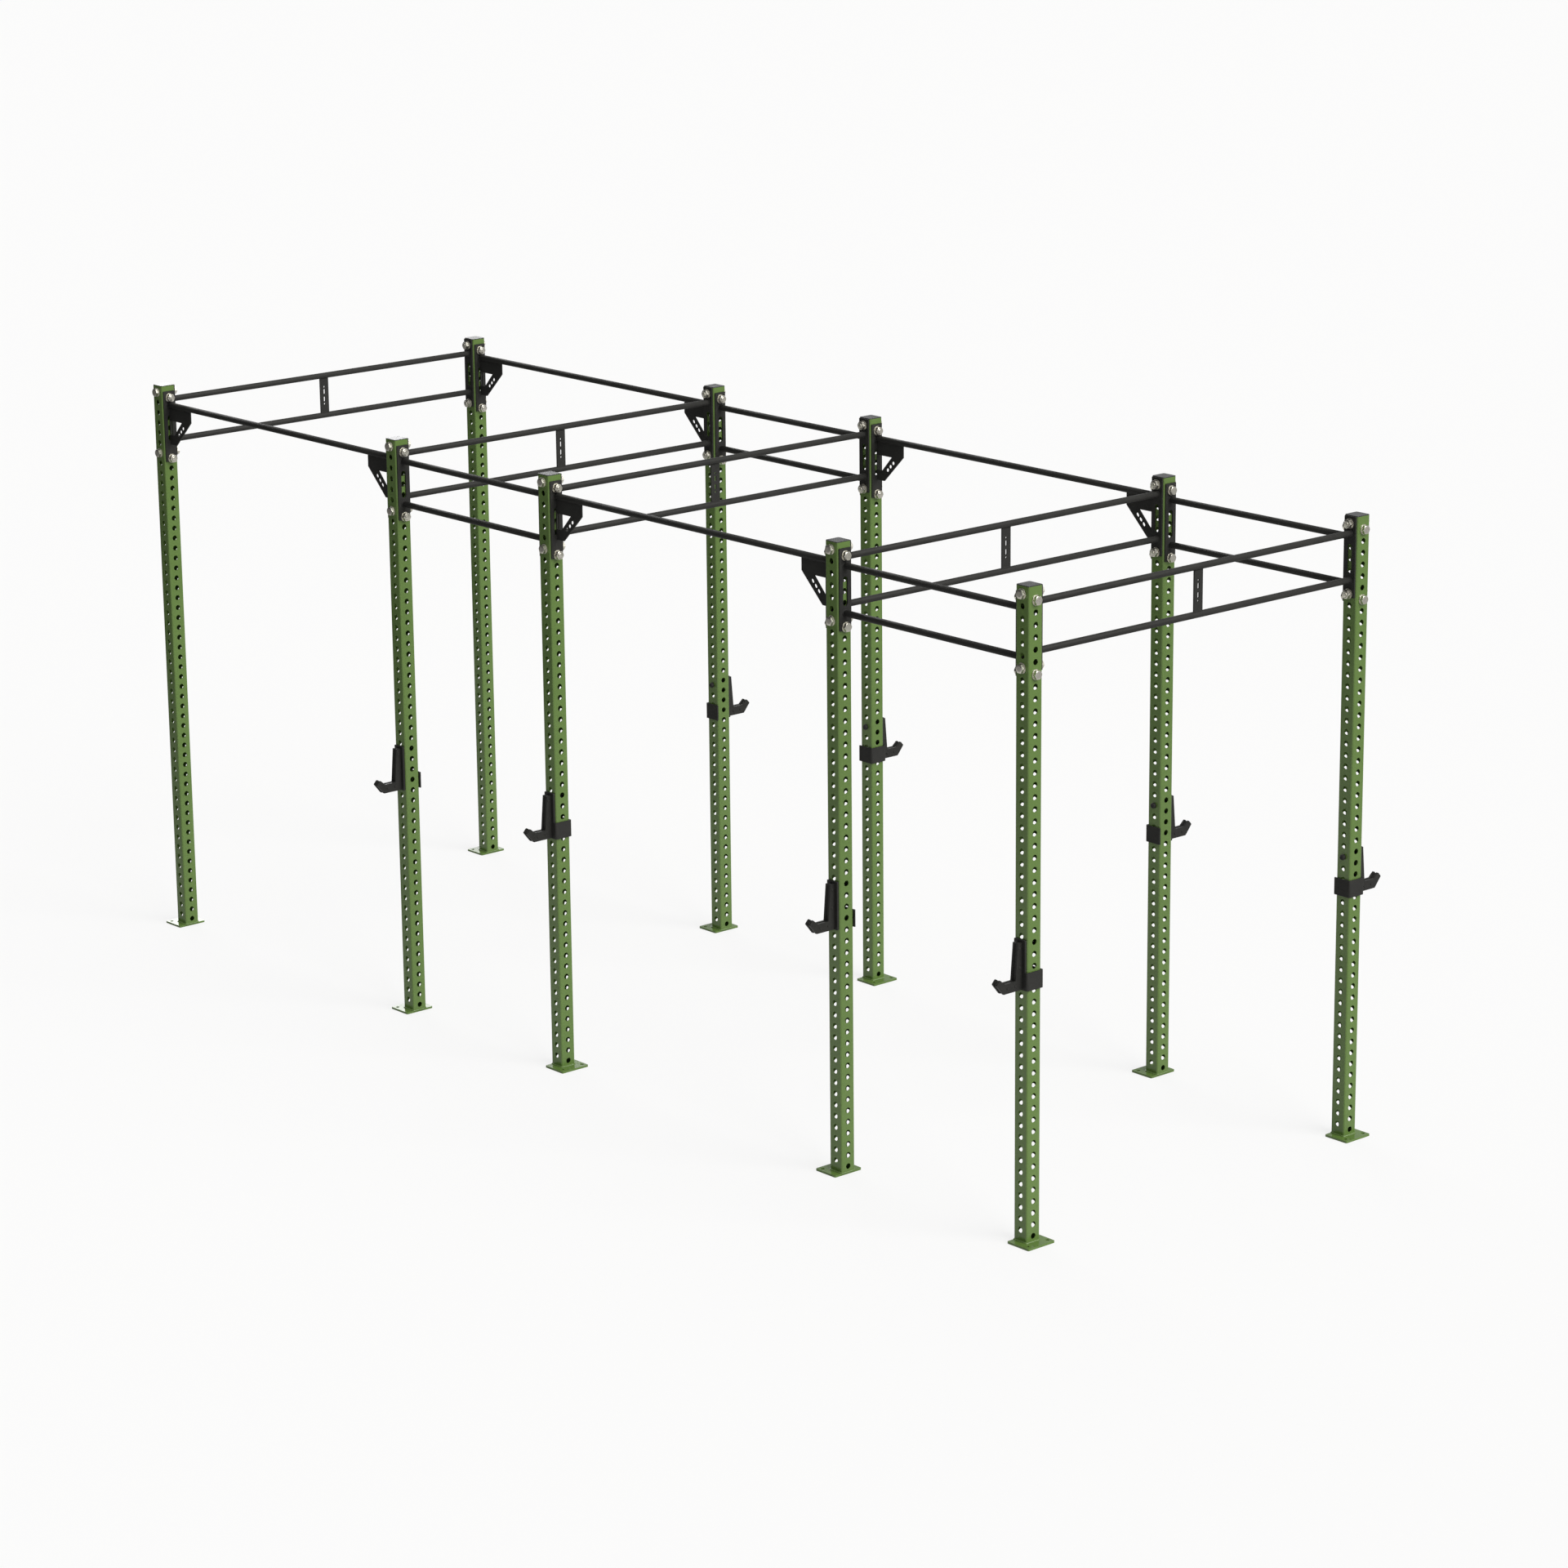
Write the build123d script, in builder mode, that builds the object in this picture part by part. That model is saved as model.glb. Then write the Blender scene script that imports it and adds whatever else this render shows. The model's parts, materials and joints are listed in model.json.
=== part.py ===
from build123d import *
import os

# A free-standing training rig: two rows of five punched square uprights, tied across by
# ladder crossmembers and along each row by pull-up bars, with a J-cup on eight uprights.
# Millimetres. +X runs along the rows towards upright pair 5, +Y from the front row to the
# back row, +Z up. The origin is on the floor, midway between the four corner uprights.

# ---------------------------------------------------------------- driving dimensions
# Layout: clear distances between facing uprights
long_bay = 1857.4  # along a row, bays 1 and 3
short_bay = 1066.8  # along a row, bays 2 and 4
rig_depth = 1857.4  # between the front and the back row

# Uprights
tube_size = 76.2
tube_wall = 3.05
tube_corner = 7.6  # outside corner radius
hole_diameter = 25.4
hole_pitch = 50.8
hole_count = 54  # in each face
tube_top_margin = 31.75  # tube above the centre of the top front hole
mark_every = 16  # holes between two engraved height marks
mark_length = 8.0
mark_width = 2.2
mark_depth = 0.5

# Foot plates, welded under the uprights
foot_length = 127.0  # along X
foot_width = 152.4  # along Y
foot_thickness = 9.525
foot_corner = 6.0
anchor_diameter = 17.5
anchor_spacing = 114.3
anchor_edge = 25.4  # anchor hole centres from the plate's far edge

# Plastic caps on the upright tops
cap_thickness = 3.2
cap_plug_depth = 14.0
cap_plug_wall = 3.0
cap_edge = 1.2
cap_clearance = 0.2

# End plates of bars and crossmembers
plate_width = 63.5
plate_thickness = 6.35
plate_corner = 3.0
plate_top_margin = 31.75  # above the upper bolt
plate_bottom_margin = 15.9  # below the lower bolt
bolt_span_holes = 6  # hole pitches between the upper and the lower bolt
window_holes = 2  # hole pitches between the window's end centres
bolt_hole_diameter = 25.4

# Round bars
bar_diameter = 28.6
bar_wall = 3.4
pair_gap = 6.55  # between the upper bar of a pair and the washer above it
single_gap = 0.3  # between a single bar and the washer above it

# Mid-span brace between a crossmember's two bars
brace_width = 50.8
brace_thickness = 6.35
brace_hole = 9.5
brace_slot_length = 26.0

# Gussets under the ends of a single bar
gusset_thickness = 6.35
gusset_reach = 184.2  # from the end plate
gusset_edge_drop = 68.6  # its outer edge, below the bar's axis
gusset_foot_rise = 70.0  # its foot, above the lower bolt
gusset_toe = 52.4  # width of its foot
window_top_drop = 77.6
window_bottom_drop = 149.6
window_inset = 6.5  # strip left beside the end plate
window_reach = 105.5
window_toe = 38.5
strut_slot_length = 21.0
strut_slot_width = 16.0
strut_slot_count = 3
strut_slot_pitch = 27.0

# Fasteners
bolt_play = 1.4  # between a bolt and its hole, or the bolt that crosses it
thread_clearance = 0.1
head_across_flats = 36.0
head_height = 15.0
nut_height = 19.0
thread_end = 4.0  # bolt showing past its nut
washer_diameter = 44.0
washer_thickness = 4.0
washer_clearance = 0.5
washer_edge = 0.5
edge_break = 1.2

# J-cups: a pinned bracket with a padded hook on the outer face of an upright
jcup_hole = 25  # front hole that takes the pin, counted from the floor
pin_play = 0.6
pin_protrusion = 14.0  # past the far wall of the upright
pin_chamfer = 3.0
jcup_plate_inset = 6.35  # from the upright's side face to the plate's edge
jcup_plate_thickness = 6.35
jcup_plate_above = 38.1  # above the pin
jcup_plate_below = 174.6  # below the pin
liner_thickness = 2.9
liner_clearance = 0.3  # to the upright's face
strap_height = 76.2
strap_thickness = 6.35
strap_clearance = 1.5  # to the upright's faces
strap_overhang = 5.0  # free end past the upright's far face
strap_bend = 9.0  # outside bend radius
hook_core_thickness = 12.7
cheek_thickness = 9.525
cheek_stand = 3.0  # cheeks proud of the core where a bar rests
back_top = 22.6  # thickness of the padded back, at its top
back_bottom = 36.0  # and at the cradle floor
back_height = 28.0  # top of the padded back above the pin
cradle_drop = 131.0  # cradle floor below the pin
cradle_end = 95.8  # cradle floor's outer end, from the plate
lip_reach = 122.6  # lip's inner corner, from the plate
lip_rise = 24.0
tip_reach = 141.2  # lip's outer corner, from the plate
tip_rise = 4.0
hook_under_reach = 103.4  # underside's corner, from the plate
hook_under_drop = 173.0  # underside below the pin
hook_round = 5.0
stud_diameter = 6.0
stud_head_diameter = 11.0
stud_head_height = 2.4
stud_taper = 25.0  # degrees, the slope of the head's side
stud_clearance = 0.1

# ---------------------------------------------------------------- worked-out values
half_tube = tube_size / 2
half_pitch = hole_pitch / 2
first_front_hole = foot_thickness + hole_pitch  # front and back faces
first_side_hole = foot_thickness + half_pitch  # left and right faces, half a pitch lower
top_front_hole = first_front_hole + (hole_count - 1) * hole_pitch
top_side_hole = first_side_hole + (hole_count - 1) * hole_pitch
tube_top = top_front_hole + tube_top_margin
tube_length = tube_top - foot_thickness
# a mark sits on each side of its hole, midway to the tube's rounded corner
mark_spread = half_tube - tube_corner + hole_diameter / 2

pitch_long = long_bay + tube_size
pitch_short = short_bay + tube_size
rig_length = 2 * (pitch_long + pitch_short)
upright_x = [-rig_length / 2]
for step in (pitch_long, pitch_short, pitch_long, pitch_short):
    upright_x.append(upright_x[-1] + step)
row_y = {"front": -(rig_depth + tube_size) / 2, "back": (rig_depth + tube_size) / 2}
toe_side = (-1, -1, 1, -1, 1)  # the side of each upright where its foot plate sticks out
bays = (("bay1", 0, long_bay), ("bay2", 1, short_bay), ("bay3", 2, long_bay), ("bay4", 3, short_bay))

bolt_span = bolt_span_holes * hole_pitch
bolt_diameter = min(hole_diameter, half_pitch) - bolt_play
plate_height = bolt_span + plate_top_margin + plate_bottom_margin
plate_centre_drop = plate_height / 2 - plate_top_margin  # plate centre below the upper bolt
# the bars' axes below the upper bolt, clear of its washer
single_bar_drop = (washer_diameter + bar_diameter) / 2 + single_gap
pair_upper_drop = (washer_diameter + bar_diameter) / 2 + pair_gap
bar_spacing = 2 * (plate_centre_drop - pair_upper_drop)
gusset_drop = bolt_span - gusset_foot_rise - single_bar_drop  # its foot, below the bar's axis
pin_diameter = hole_diameter - pin_play
jcup_plate_width = tube_size - 2 * jcup_plate_inset
hook_width = hook_core_thickness + 2 * cheek_thickness
pin_z = first_front_hole + (jcup_hole - 1) * hole_pitch
jcup_uprights = ((1, -1), (2, 1), (3, -1), (4, 1))  # upright index and the strap's side


# ---------------------------------------------------------------- uprights
def make_upright(toe):
    """One punched upright with its foot plate, standing at the origin; toe is +1 or -1."""
    with BuildPart() as post:
        with BuildSketch(Plane.XY.offset(foot_thickness)):
            RectangleRounded(tube_size, tube_size, tube_corner)
            bore = tube_size - 2 * tube_wall
            RectangleRounded(bore, bore, tube_corner - tube_wall, mode=Mode.SUBTRACT)
        extrude(amount=tube_length)
        for plane, first_hole in ((Plane.XZ, first_front_hole), (Plane.YZ, first_side_hole)):
            middle = first_hole + (hole_count - 1) * hole_pitch / 2
            with BuildSketch(plane):
                with Locations((0, middle)):
                    with GridLocations(0, hole_pitch, 1, hole_count):
                        Circle(hole_diameter / 2)
            extrude(amount=tube_size, both=True, mode=Mode.SUBTRACT)
            for side in (-1, 1):
                with BuildSketch(plane.offset(side * (half_tube - mark_depth))):
                    for hole in range(mark_every, hole_count, mark_every):
                        with Locations((0, first_hole + (hole - 1) * hole_pitch)):
                            with GridLocations(mark_spread, 0, 2, 1):
                                SlotOverall(mark_length, mark_width)
                extrude(amount=side * tube_wall, mode=Mode.SUBTRACT)
        with BuildSketch(Plane.XY):
            with Locations((toe * (foot_length - tube_size) / 2, 0)):
                RectangleRounded(foot_length, foot_width, foot_corner)
            anchor_x = foot_length - half_tube - anchor_edge
            with Locations((toe * anchor_x, 0)):
                with GridLocations(0, anchor_spacing, 1, 2):
                    Circle(anchor_diameter / 2, mode=Mode.SUBTRACT)
        extrude(amount=foot_thickness)
    return post.part


def make_cap():
    """A plastic cap with its hollow plug, for the top of one upright at the origin."""
    with BuildPart() as cap:
        with BuildSketch(Plane.XY.offset(tube_top)):
            RectangleRounded(tube_size, tube_size, tube_corner)
        extrude(amount=cap_thickness)
        chamfer(cap.faces().sort_by(Axis.Z)[-1].edges(), cap_edge)
        plug = tube_size - 2 * (tube_wall + cap_clearance)
        core = plug - 2 * cap_plug_wall
        plug_corner = tube_corner - tube_wall - cap_clearance
        with BuildSketch(Plane.XY.offset(tube_top)):
            RectangleRounded(plug, plug, plug_corner)
            RectangleRounded(core, core, plug_corner / 2, mode=Mode.SUBTRACT)
        extrude(amount=-cap_plug_depth)
    return cap.part


# ---------------------------------------------------------------- bars and crossmembers
# Each is drawn along +X from an end plate at x = 0 to one at x = span, with z = 0 at the
# upper bolt, and is then turned and lifted to its place.
def make_end_plate(at_x, inward):
    """An end plate whose face against the upright is at at_x; inward is +1 or -1."""
    with BuildPart() as plate:
        with BuildSketch(Plane.YZ.offset(at_x)):
            with Locations((0, -plate_centre_drop)):
                RectangleRounded(plate_width, plate_height, plate_corner)
            with Locations((0, 0), (0, -bolt_span)):
                Circle(bolt_hole_diameter / 2, mode=Mode.SUBTRACT)
            with Locations((0, -bolt_span / 2)):
                SlotCenterToCenter(
                    window_holes * hole_pitch, hole_diameter, rotation=90, mode=Mode.SUBTRACT
                )
        extrude(amount=inward * plate_thickness)
    return plate.part


def make_bar(span, drop):
    """A round tube between the two end plates, its axis drop below the upper bolt."""
    with BuildPart() as bar:
        with BuildSketch(Plane.YZ.offset(plate_thickness)):
            with Locations((0, -drop)):
                Circle(bar_diameter / 2)
                Circle(bar_diameter / 2 - bar_wall, mode=Mode.SUBTRACT)
        extrude(amount=span - 2 * plate_thickness)
    return bar.part


def make_gusset(at_x, inward):
    """The triangulated plate under a single bar, welded to the end plate face at at_x."""
    axis_z = -single_bar_drop
    top_z = axis_z - bar_diameter / 2
    outer_low = (gusset_reach, axis_z - gusset_edge_drop)
    foot_out = (gusset_toe, axis_z - gusset_drop)
    window_top = axis_z - window_top_drop
    window_bottom = axis_z - window_bottom_drop
    # the strut's slots run along the middle of the strut
    inner_out = (window_reach, window_top)
    inner_low = (window_toe, window_bottom)
    mid_x = (outer_low[0] + foot_out[0] + inner_out[0] + inner_low[0]) / 4
    mid_z = (outer_low[1] + foot_out[1] + inner_out[1] + inner_low[1]) / 4
    strut = Vector(*outer_low) - Vector(*foot_out)
    strut_angle = Vector(1, 0).get_signed_angle(strut, Vector(0, 0, 1))
    with BuildPart() as gusset:
        with BuildSketch(Plane.XZ.offset(-gusset_thickness / 2)):
            with BuildLine():
                Polyline(
                    (0, top_z), (gusset_reach, top_z), outer_low,
                    foot_out, (0, foot_out[1]), close=True,
                )
            make_face()
            with BuildLine():
                Polyline(
                    (window_inset, window_top), inner_out,
                    inner_low, (window_inset, window_bottom), close=True,
                )
            make_face(mode=Mode.SUBTRACT)
            with Locations(Location((mid_x, mid_z), strut_angle)):
                with GridLocations(strut_slot_pitch, 0, strut_slot_count, 1):
                    SlotOverall(strut_slot_length, strut_slot_width, mode=Mode.SUBTRACT)
        extrude(amount=gusset_thickness)
    seat = Location((at_x, 0, 0))
    if inward < 0:
        return mirror(gusset.part, about=Plane.YZ).moved(seat)
    return gusset.part.moved(seat)


def make_brace(middle_x):
    """The slotted plate that joins a crossmember's two bars at mid-span."""
    length = bar_spacing - bar_diameter
    with BuildPart() as brace:
        with BuildSketch(Plane.XZ.offset(-brace_thickness / 2)):
            with Locations((middle_x, -plate_centre_drop)):
                Rectangle(brace_width, length)
                with GridLocations(0, length / 2, 1, 2):
                    Circle(brace_hole / 2, mode=Mode.SUBTRACT)
                with GridLocations(0, 1.5 * brace_slot_length, 1, 2):
                    SlotOverall(
                        brace_slot_length, brace_hole, rotation=90, mode=Mode.SUBTRACT
                    )
        extrude(amount=brace_thickness)
    return brace.part


def make_pair(span, braced):
    """A pair of bars between two end plates, with a mid-span brace on a crossmember."""
    pieces = [make_end_plate(0, 1), make_end_plate(span, -1)]
    for side in (-1, 1):
        pieces.append(make_bar(span, plate_centre_drop + side * bar_spacing / 2))
    if braced:
        pieces.append(make_brace(span / 2))
    return pieces


def make_single(span):
    """One pull-up bar between two end plates, with a gusset under each end."""
    return [
        make_end_plate(0, 1),
        make_end_plate(span, -1),
        make_bar(span, single_bar_drop),
        make_gusset(plate_thickness, 1),
        make_gusset(span - plate_thickness, -1),
    ]


# ---------------------------------------------------------------- fasteners
# Drawn along +X with the clamped stack from x = 0 (head side) to x = grip (nut side).
def make_bolt(grip):
    with BuildPart() as bolt:
        with BuildSketch(Plane.YZ.offset(-washer_thickness)):
            RegularPolygon(head_across_flats / 2, 6, major_radius=False)
        extrude(amount=-head_height)
        chamfer(bolt.faces().sort_by(Axis.X)[0].edges(), edge_break)
        with BuildSketch(Plane.YZ.offset(-washer_thickness)):
            Circle(bolt_diameter / 2)
        extrude(amount=grip + 2 * washer_thickness + nut_height + thread_end)
        chamfer(bolt.faces().sort_by(Axis.X)[-1].edges(), edge_break)
    return bolt.part


def make_nut(grip):
    with BuildPart() as nut:
        with BuildSketch(Plane.YZ.offset(grip + washer_thickness)):
            RegularPolygon(head_across_flats / 2, 6, major_radius=False)
            Circle((bolt_diameter + thread_clearance) / 2, mode=Mode.SUBTRACT)
        extrude(amount=nut_height)
        outer_edges = nut.faces().sort_by(Axis.X)[-1].outer_wire().edges()
        chamfer(outer_edges, edge_break)
    return nut.part


def make_washers(grip):
    washers = []
    for at_x in (-washer_thickness, grip):
        with BuildPart() as washer:
            with BuildSketch(Plane.YZ.offset(at_x)):
                Circle(washer_diameter / 2)
                Circle(bolt_diameter / 2 + washer_clearance, mode=Mode.SUBTRACT)
            extrude(amount=washer_thickness)
            rims = washer.edges().filter_by(GeomType.CIRCLE).sort_by(SortBy.RADIUS)[-2:]
            chamfer(rims, washer_edge)
        washers.append(washer.part)
    return washers


# ---------------------------------------------------------------- J-cups
# Drawn on a front upright at the origin, with z = 0 at the pin and the hook towards -Y.
# The hook's outline is drawn in the YZ plane, u outwards from the face of the plate.
plate_back = half_tube + liner_clearance + liner_thickness
plate_face = plate_back + jcup_plate_thickness


def hook_outline(inset):
    """Corner points of the hook, its bearing surfaces drawn back by inset."""
    slope = (back_bottom - back_top) / (back_height + cradle_drop)
    floor_back = back_bottom - inset + slope * inset
    return (
        (0, back_height - inset),
        (back_top - inset, back_height - inset),
        (floor_back, -cradle_drop - inset),
        (cradle_end + inset / 2, -cradle_drop - inset),
        (lip_reach, lip_rise - cradle_drop - 1.5 * inset),
        (tip_reach - inset, tip_rise - cradle_drop - inset / 2),
        (hook_under_reach - inset / 2, inset - hook_under_drop),
        (0, inset - hook_under_drop),
    )


def stud_places():
    """Where the hook's through studs sit: two in the arm and two up the padded back."""
    arm_z = -(cradle_drop + hook_under_drop) / 2
    back_u = (back_top + back_bottom) / 4
    return (
        (back_bottom, arm_z),
        (hook_under_reach - back_top, arm_z),
        (back_u, arm_z / 2),
        (back_u, back_height - back_top),
    )


def make_hook(first_x, width, inset):
    """A slab of the hook, from first_x on, with its corners rounded and stud holes."""
    with BuildPart() as slab:
        with BuildSketch(Plane.YZ.offset(first_x)):
            with BuildLine():
                points = [(-plate_face - u, z) for u, z in hook_outline(inset)]
                Polyline(*points, close=True)
            make_face()
        extrude(amount=width)
        across = slab.edges().filter_by(Axis.X)
        rounded = across.filter_by(lambda edge: edge.center().Y < -plate_face - back_top - 1)
        fillet(rounded, hook_round)
        with BuildSketch(Plane.YZ.offset(first_x)):
            with Locations(*[(-plate_face - u, z) for u, z in stud_places()]):
                Circle(stud_diameter / 2 + stud_clearance)
        extrude(amount=width, mode=Mode.SUBTRACT)
    return slab.part


def make_bracket(side):
    """The steel bracket: pin, plate, hook core and the strap round the upright."""
    plate_height_z = jcup_plate_above + jcup_plate_below
    plate_mid_z = (jcup_plate_above - jcup_plate_below) / 2
    strap_mid_z = strap_height / 2 - jcup_plate_below
    strap_in = half_tube + strap_clearance
    strap_out = strap_in + strap_thickness
    free_end = half_tube + strap_overhang
    with BuildPart() as bracket:
        with BuildSketch(Plane.XZ.offset(plate_back)):
            with Locations((0, plate_mid_z)):
                RectangleRounded(jcup_plate_width, plate_height_z, plate_corner)
        extrude(amount=jcup_plate_thickness)
        with BuildSketch(Plane.XZ.offset(plate_back)):
            Circle(pin_diameter / 2)
        extrude(amount=-(plate_back + half_tube + pin_protrusion))
        chamfer(bracket.faces().sort_by(Axis.Y)[-1].edges(), pin_chamfer)
        with BuildSketch(Plane.XY.offset(strap_mid_z - strap_height / 2)):
            with BuildLine():
                outer = FilletPolyline(
                    (0, -plate_face), (side * strap_out, -plate_face),
                    (side * strap_out, strap_out), (-side * free_end, strap_out),
                    radius=strap_bend,
                )
                inner = FilletPolyline(
                    (0, -plate_back), (side * strap_in, -plate_back),
                    (side * strap_in, strap_in), (-side * free_end, strap_in),
                    radius=strap_bend - strap_thickness,
                )
                Line(outer @ 0, inner @ 0)
                Line(outer @ 1, inner @ 1)
            make_face()
        extrude(amount=strap_height)
        add(make_hook(-hook_core_thickness / 2, hook_core_thickness, cheek_stand))
    return bracket.part


def make_liner():
    """The plastic sheet between the bracket's plate and the upright."""
    liner_height = jcup_plate_above + jcup_plate_below
    liner_mid = (jcup_plate_above - jcup_plate_below) / 2
    with BuildPart() as liner:
        with BuildSketch(Plane.XZ.offset(plate_back - liner_thickness)):
            with Locations((0, liner_mid)):
                RectangleRounded(jcup_plate_width, liner_height, plate_corner)
            Circle(hole_diameter / 2, mode=Mode.SUBTRACT)
        extrude(amount=liner_thickness)
    return liner.part


def make_stud(u, z):
    """One through stud with a low head on each cheek."""
    with BuildPart() as stud:
        with BuildSketch(Plane.YZ.offset(-hook_width / 2)):
            with Locations((-plate_face - u, z)):
                Circle(stud_diameter / 2)
        extrude(amount=hook_width)
        for side in (-1, 1):
            with BuildSketch(Plane.YZ.offset(side * hook_width / 2)):
                with Locations((-plate_face - u, z)):
                    Circle(stud_head_diameter / 2)
            extrude(amount=side * stud_head_height, taper=stud_taper)
    return stud.part


# ---------------------------------------------------------------- writing the nodes
os.makedirs("parts", exist_ok=True)


def write(name, pieces):
    """One node: a single solid, or a group of separate solids."""
    whole = pieces[0] if len(pieces) == 1 else Compound(children=pieces)
    whole.label = name
    export_step(whole, f"parts/{name}.step")


def placed(pieces, x, y, z, turn):
    """Copies of the pieces, turned about Z and set at x, y, z."""
    return [piece.moved(Location((x, y, z), (0, 0, turn))) for piece in pieces]


posts = {toe: make_upright(toe) for toe in (-1, 1)}
cap = make_cap()
caps = []
for row, y in row_y.items():
    for index, x in enumerate(upright_x):
        write(f"upright_{row}_{index + 1}", placed([posts[toe_side[index]]], x, y, 0, 0))
        caps += placed([cap], x, y, 0, 0)
write("top_caps", caps)

crossmember = make_pair(rig_depth, braced=True)
first_inner_face = row_y["front"] + half_tube
for index, x in enumerate(upright_x):
    write(f"crossmember_{index + 1}", placed(crossmember, x, first_inner_face, top_front_hole, 90))

for name, index, span in bays:
    start_x = upright_x[index] + half_tube
    for row, y in row_y.items():
        if span == long_bay:
            write(f"pull_up_bar_{row}_{name}", placed(make_single(span), start_x, y, top_side_hole, 0))
        else:
            pair = make_pair(span, braced=False)
            write(f"double_bar_{row}_{name}", placed(pair, start_x, y, top_side_hole, 0))

bolts = []
nuts = []
washers = []


def fasten(grip, x, y, z, turn):
    """The upper and lower bolt of one joint, with their nuts and washers."""
    for drop in (0, bolt_span):
        bolts.extend(placed([make_bolt(grip)], x, y, z - drop, turn))
        nuts.extend(placed([make_nut(grip)], x, y, z - drop, turn))
        washers.extend(placed(make_washers(grip), x, y, z - drop, turn))


last = len(upright_x) - 1
for row, y in row_y.items():
    outward = -1 if row == "front" else 1
    for index, x in enumerate(upright_x):
        # through the crossmember's plate, with the head on the rig's outer side
        fasten(tube_size + plate_thickness, x, y + outward * half_tube, top_front_hole, -outward * 90)
        # through the bars' plates along the row, heads to the left on uprights 1 to 3
        left = half_tube + (plate_thickness if index > 0 else 0)
        right = half_tube + (plate_thickness if index < last else 0)
        if index < 3:
            fasten(left + right, x - left, y, top_side_hole, 0)
        else:
            fasten(left + right, x + right, y, top_side_hole, 180)
write("hex_bolts", bolts)
write("hex_nuts", nuts)
write("flat_washers", washers)

cheeks = []
for first_x in (-hook_width / 2, hook_core_thickness / 2):
    cheeks.append(make_hook(first_x, cheek_thickness, 0))
studs = [make_stud(u, z) for u, z in stud_places()]
liner = make_liner()
brackets = {side: make_bracket(side) for side in (-1, 1)}
for row, y in row_y.items():
    turn = 0 if row == "front" else 180
    for index, side in jcup_uprights:
        x = upright_x[index]
        hand = side if row == "front" else -side
        tag = f"{row}_{index + 1}"
        write(f"jcup_bracket_{tag}", placed([brackets[hand]], x, y, pin_z, turn))
        write(f"jcup_liner_{tag}", placed([liner], x, y, pin_z, turn))
        write(f"jcup_cheeks_{tag}", placed(cheeks, x, y, pin_z, turn))
        write(f"jcup_studs_{tag}", placed(studs, x, y, pin_z, turn))
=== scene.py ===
import json
import math

import bmesh
import bpy
from mathutils import Matrix, Vector


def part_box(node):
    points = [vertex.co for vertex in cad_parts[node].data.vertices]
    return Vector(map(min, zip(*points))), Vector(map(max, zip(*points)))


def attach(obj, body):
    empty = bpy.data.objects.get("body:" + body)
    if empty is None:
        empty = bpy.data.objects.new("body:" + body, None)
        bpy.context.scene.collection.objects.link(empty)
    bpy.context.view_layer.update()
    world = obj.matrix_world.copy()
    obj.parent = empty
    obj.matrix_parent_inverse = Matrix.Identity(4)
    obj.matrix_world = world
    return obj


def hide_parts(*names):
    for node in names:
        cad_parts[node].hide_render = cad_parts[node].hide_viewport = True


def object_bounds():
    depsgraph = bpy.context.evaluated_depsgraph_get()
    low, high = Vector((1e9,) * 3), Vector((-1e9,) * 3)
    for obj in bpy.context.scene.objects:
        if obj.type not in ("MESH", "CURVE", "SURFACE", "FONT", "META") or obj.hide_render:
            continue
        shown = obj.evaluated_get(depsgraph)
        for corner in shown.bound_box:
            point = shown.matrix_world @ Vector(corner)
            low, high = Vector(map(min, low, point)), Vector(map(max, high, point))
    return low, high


# The looks of a free-standing training rig: powder-coated steel, zinc-plated bolts and nuts
# with turned chamfers and threads, weld beads, plastic hooks and caps. Metres.

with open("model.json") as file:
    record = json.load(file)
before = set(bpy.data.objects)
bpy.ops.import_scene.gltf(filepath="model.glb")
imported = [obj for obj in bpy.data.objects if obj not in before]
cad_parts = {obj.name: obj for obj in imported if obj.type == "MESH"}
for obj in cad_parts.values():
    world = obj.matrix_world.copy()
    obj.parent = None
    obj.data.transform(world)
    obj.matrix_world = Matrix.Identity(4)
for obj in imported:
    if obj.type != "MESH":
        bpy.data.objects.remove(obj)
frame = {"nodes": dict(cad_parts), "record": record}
cad_low, cad_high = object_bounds()
nodes = frame["nodes"]
record = frame["record"]
slot_of = {part["node"]: part["material_slot"] for part in record["subparts"]}
RIG = "rig"  # the body that everything but the J-cups belongs to

MM = 0.001
TURN = 2 * math.pi
SAME_POINT = 0.002 * MM
SMOOTH_ANGLE = math.radians(35)  # faces that meet at less are shaded as one

# Fasteners
SIDES = 6  # of a hexagon
ROUND_STEPS = 48  # points round a bolt or nut
CHAMFER_CIRCLE = 0.94  # the flat end circle of a head, as a share of its half width
HEAD_CENTRE = 0.47  # an inner ring on the head's end, as a share of its half width
CHAMFER_SLOPE = math.tan(math.radians(30))
THREAD_PITCH = 3.0 * MM
THREAD_DEPTH = 1.1 * MM
THREAD_LENGTH = 9.0 * MM
THREAD_STEPS = 8  # rings in one turn of thread
TIP_TAPER = 1.6 * MM  # length of the tapered tip
TIP_SLOPE = 0.7  # how much the radius shrinks along it, as a share of its length
LEVEL_DIGITS = 5  # decimals of a metre that tell places along a bolt apart
COUNTERSINK = 1.0 * MM  # at both ends of a nut's bore

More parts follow.
